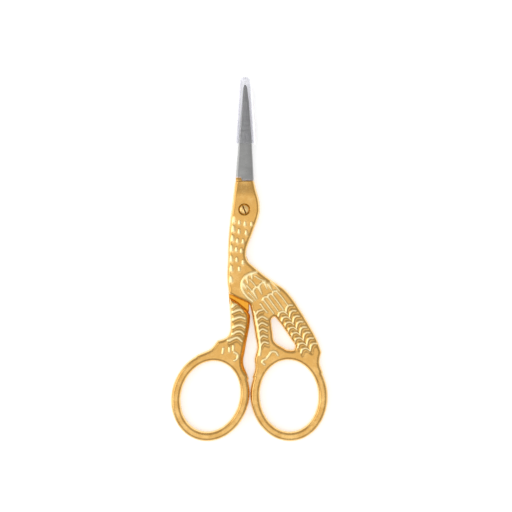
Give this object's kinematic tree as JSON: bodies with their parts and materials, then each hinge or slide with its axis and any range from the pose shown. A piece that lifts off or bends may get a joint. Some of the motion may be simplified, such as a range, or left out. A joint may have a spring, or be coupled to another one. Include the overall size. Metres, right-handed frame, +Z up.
{
  "type": "stork embroidery scissors",
  "caption": "Embroidery scissors shaped like a stork: slim blades as the beak, feather relief, finger rings under the legs, a slotted pivot screw at the eye and a clear tip cap.",
  "frame": {"origin": "where the pivot axis meets the table, with the closed scissors lying flat on their back", "axes": "+X across the bird towards its tail, +Y along the blades towards their tips, +Z up from the table towards the screw's head"},
  "size_m": [0.0507, 0.1182, 0.004],
  "materials": {
    "gilding": "satin gold plating on forged steel, darker in the hollows",
    "blade_steel": "ground and brushed, bright along the edges",
    "screw_gilding": "gold plated, smooth",
    "clear_vinyl": "clear soft vinyl, glossy"
  },
  "bodies": {
    "front_half": {"front_handle": "gilding", "front_blade": "blade_steel"},
    "back_half": {"back_handle": "gilding", "back_blade": "blade_steel", "pivot_screw": "screw_gilding"},
    "cap": {"tip_cap": "clear_vinyl"}
  },
  "joints": [
    {"name": "pivot", "type": "hinge", "parent": "front_half", "child": "back_half", "pos_m": [0, 0, 0.002], "axis": [0, 0, -1], "range_deg": [0, 90]},
    {"name": "cap_slide", "type": "slide", "parent": "front_half", "child": "cap", "axis": [0, 1, 0], "range_m": [0, 0.026]}
  ]
}
